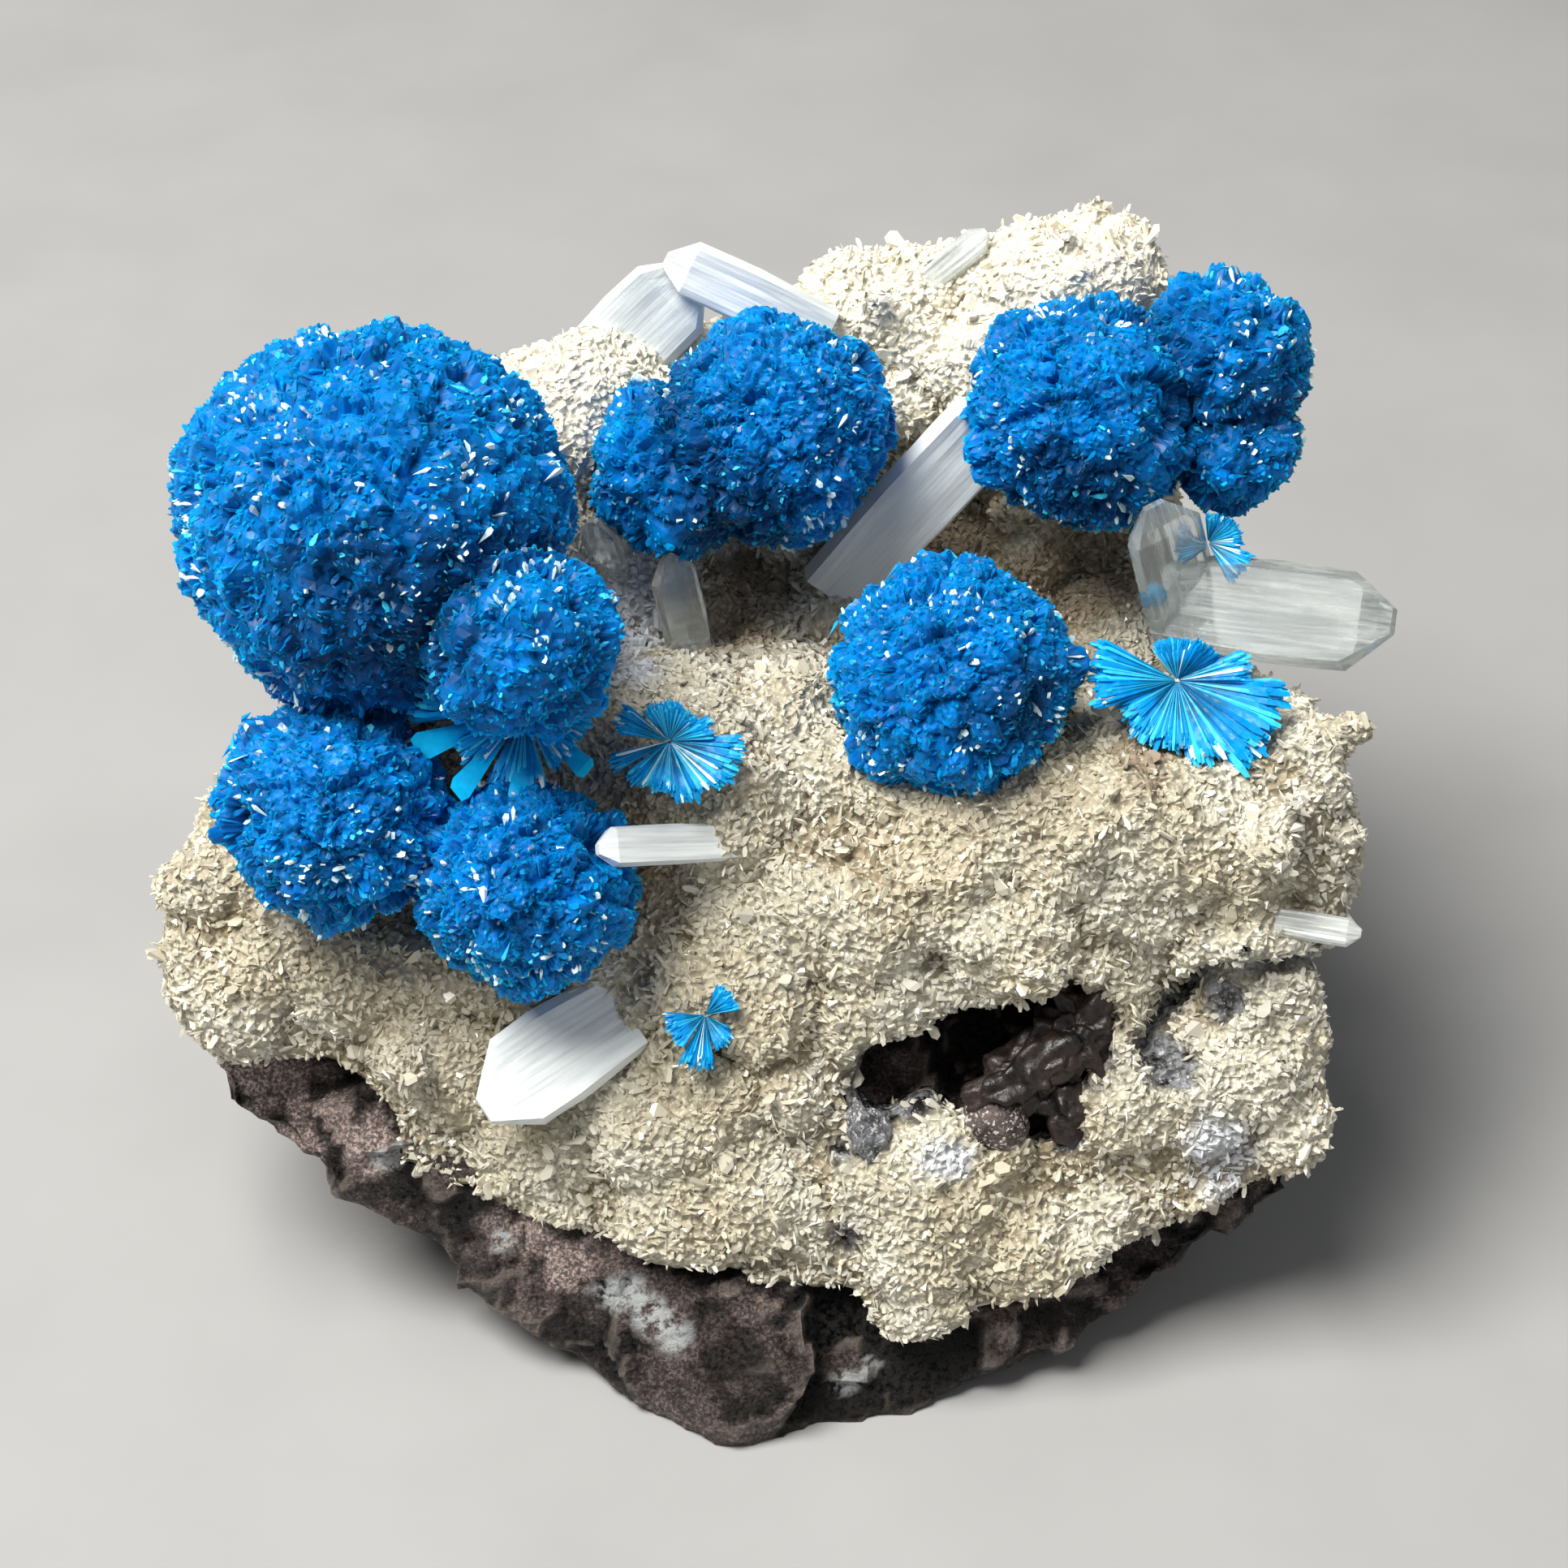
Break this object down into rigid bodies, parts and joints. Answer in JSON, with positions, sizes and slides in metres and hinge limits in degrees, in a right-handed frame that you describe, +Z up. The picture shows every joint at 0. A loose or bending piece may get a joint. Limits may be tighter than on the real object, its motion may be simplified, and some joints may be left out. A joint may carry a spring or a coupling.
{
  "type": "cavansite specimen",
  "caption": "Mineral specimen: blue radiating cavansite balls and clear stilbite blades on a drusy zeolite crust that coats a leaning wedge of basalt.",
  "frame": {"origin": "on the surface it rests on, under the middle of the whole specimen", "axes": "+X to the right as seen from in front of the crystal-covered face, +Y to the back, +Z up"},
  "size_m": [0.0618, 0.058, 0.0495],
  "materials": {
    "basalt": "dull, grainy, purple-brown to charcoal broken rock",
    "druse": "sparkling cream druse of tiny glassy blades",
    "stilbite": "clear to milky, pearly, striated along the blade",
    "cavansite": "vitreous azure blades, paler at their thin tips"
  },
  "bodies": {
    "root": {"basalt_matrix": "basalt", "stilbite_crust": "druse", "stilbite_roof": "stilbite", "stilbite_diagonal": "stilbite", "stilbite_pair_right": "stilbite", "stilbite_crest": "stilbite", "stilbite_small_left": "stilbite", "stilbite_tablet_low": "stilbite", "stilbite_hollow_tall": "stilbite", "stilbite_hollow_small": "stilbite", "stilbite_rim_right": "stilbite", "cavansite_cluster_left": "cavansite", "cavansite_ball_top": "cavansite", "cavansite_twin_right": "cavansite", "cavansite_ball_centre": "cavansite", "cavansite_ball_lower_left": "cavansite", "cavansite_ball_lower_middle": "cavansite", "cavansite_rosette_right": "cavansite", "cavansite_rosette_small": "cavansite", "cavansite_sprig": "cavansite", "cavansite_chip_back": "cavansite"}
  },
  "joints": []
}
